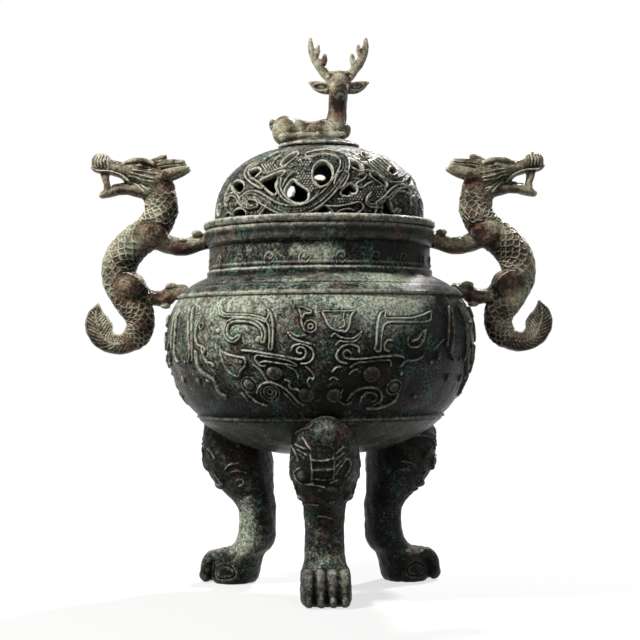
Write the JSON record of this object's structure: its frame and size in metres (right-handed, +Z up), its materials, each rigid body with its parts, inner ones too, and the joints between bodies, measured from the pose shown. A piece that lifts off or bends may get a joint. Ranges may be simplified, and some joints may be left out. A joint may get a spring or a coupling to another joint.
{
  "type": "tripod incense burner",
  "caption": "Round bellied bronze incense burner on clawed legs, with dragon handles and a pierced domed lid topped by a resting deer, which lifts off.",
  "frame": {"origin": "under the middle of the bowl, in the plane of the feet's soles", "axes": "+Z up through the bowl and lid, front leg towards -Y, dragons at -X and +X"},
  "size_m": [0.2582, 0.1701, 0.3037],
  "materials": {
    "patinated_bronze": "dark green-grey patina, mottled, satin",
    "worn_bronze": "brown bronze with green in the hollows and worn high places, satin",
    "rivet_bronze": "dark brown bronze, satin"
  },
  "bodies": {
    "base": {"bowl": "patinated_bronze", "leg_front": "patinated_bronze", "leg_right": "patinated_bronze", "leg_left": "patinated_bronze", "dragon_left": "worn_bronze", "dragon_right": "worn_bronze", "leg_rivet_front": "rivet_bronze", "leg_rivet_right": "rivet_bronze", "leg_rivet_left": "rivet_bronze", "rim_rivet_left": "rivet_bronze", "rim_rivet_right": "rivet_bronze", "shoulder_rivet_left": "rivet_bronze", "shoulder_rivet_right": "rivet_bronze"},
    "lid_set": {"lid": "patinated_bronze", "crown_plate": "patinated_bronze", "deer_finial": "worn_bronze", "finial_rivet": "rivet_bronze"}
  },
  "joints": [
    {"name": "lid_lift", "type": "slide", "parent": "base", "child": "lid_set", "axis": [0, 0, 1], "range_m": [0, 0.08]}
  ]
}
